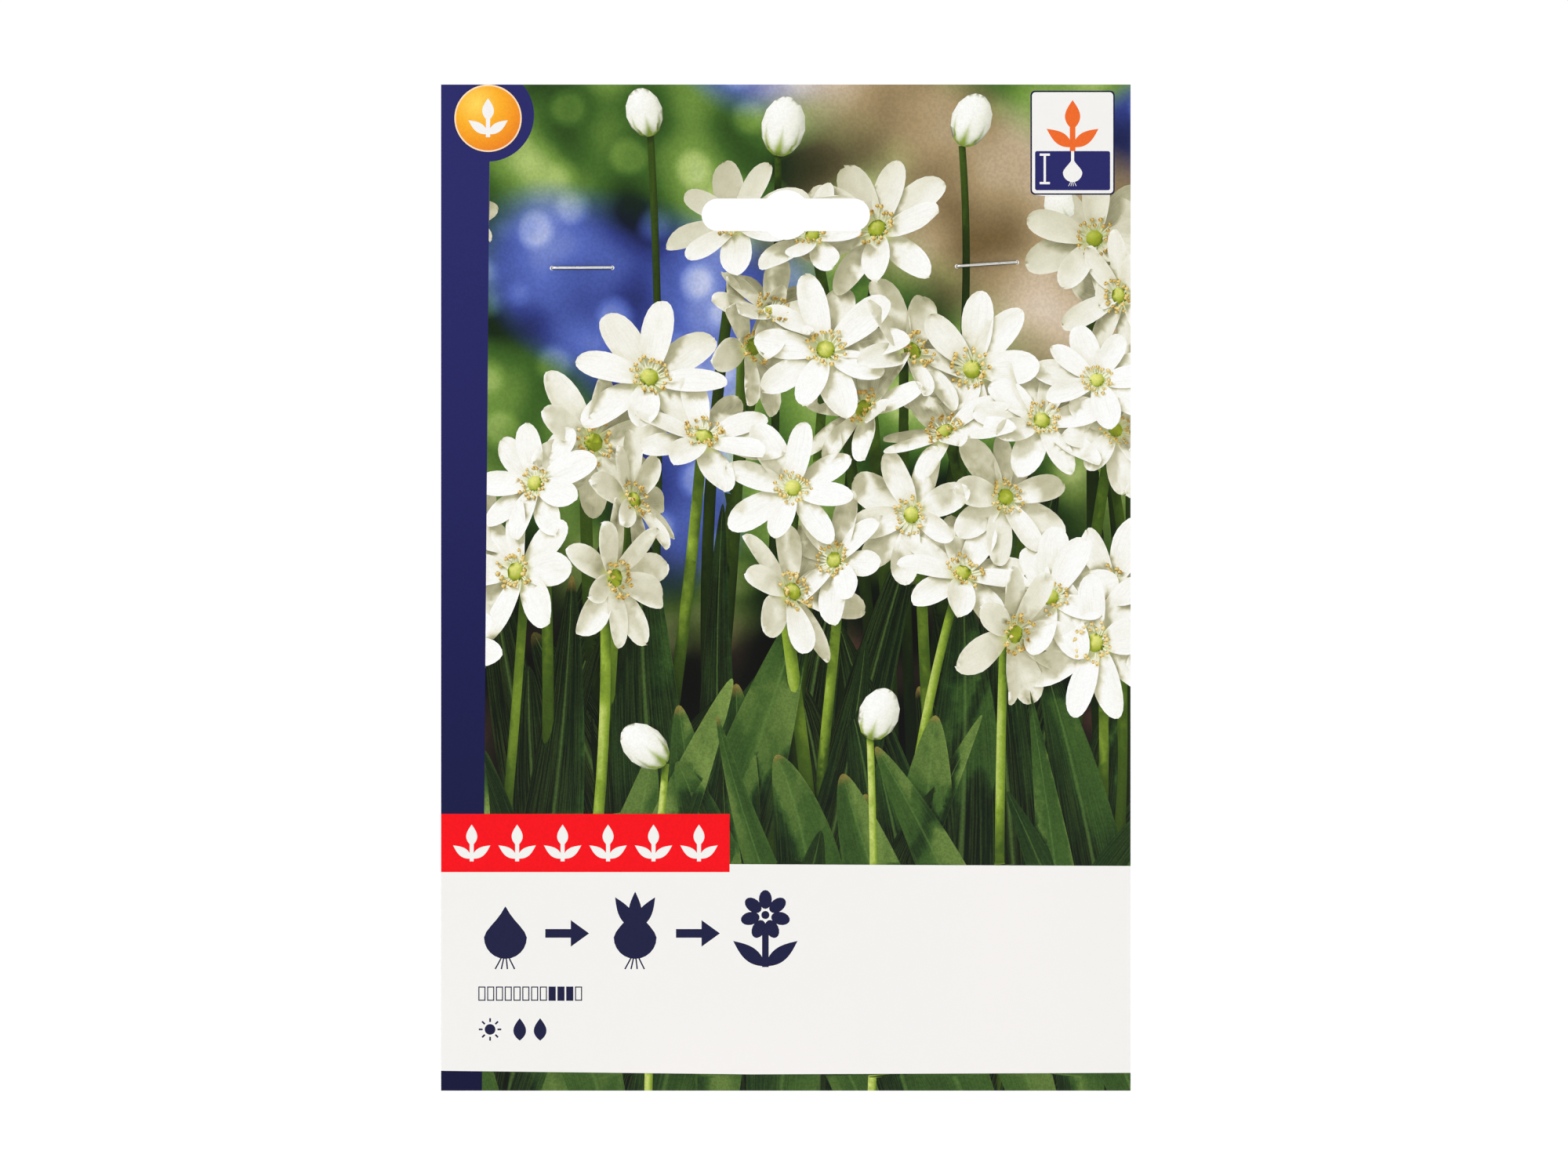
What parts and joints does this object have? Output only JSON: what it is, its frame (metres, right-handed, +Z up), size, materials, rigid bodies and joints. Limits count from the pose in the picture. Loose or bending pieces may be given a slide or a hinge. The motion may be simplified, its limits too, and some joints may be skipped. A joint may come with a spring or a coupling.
{
  "type": "hanging flower bulb pack",
  "caption": "Retail pack of small flower bulbs: a flat printed board card with a hang slot, and behind it a clear film bag of bulbs held by two wire staples.",
  "frame": {"origin": "centre of the card's hang slot, half way through the board", "axes": "+Z up along the card, +X to the right of someone who faces the printed side, +Y back through the card towards the bag, so the printed side faces -Y"},
  "size_m": [0.135, 0.0286, 0.197],
  "materials": {
    "printed_board": "satin",
    "staple_wire": "gloss",
    "clear_film": "gloss",
    "bulb_skin": "matte"
  },
  "bodies": {
    "root": {"card": "printed_board", "staple_left": "staple_wire", "staple_right": "staple_wire", "film_bag": "clear_film", "bulb_01": "bulb_skin", "bulb_02": "bulb_skin", "bulb_03": "bulb_skin", "bulb_04": "bulb_skin", "bulb_05": "bulb_skin", "bulb_06": "bulb_skin", "bulb_07": "bulb_skin", "bulb_08": "bulb_skin", "bulb_09": "bulb_skin", "bulb_10": "bulb_skin", "bulb_11": "bulb_skin", "bulb_12": "bulb_skin"}
  },
  "joints": []
}
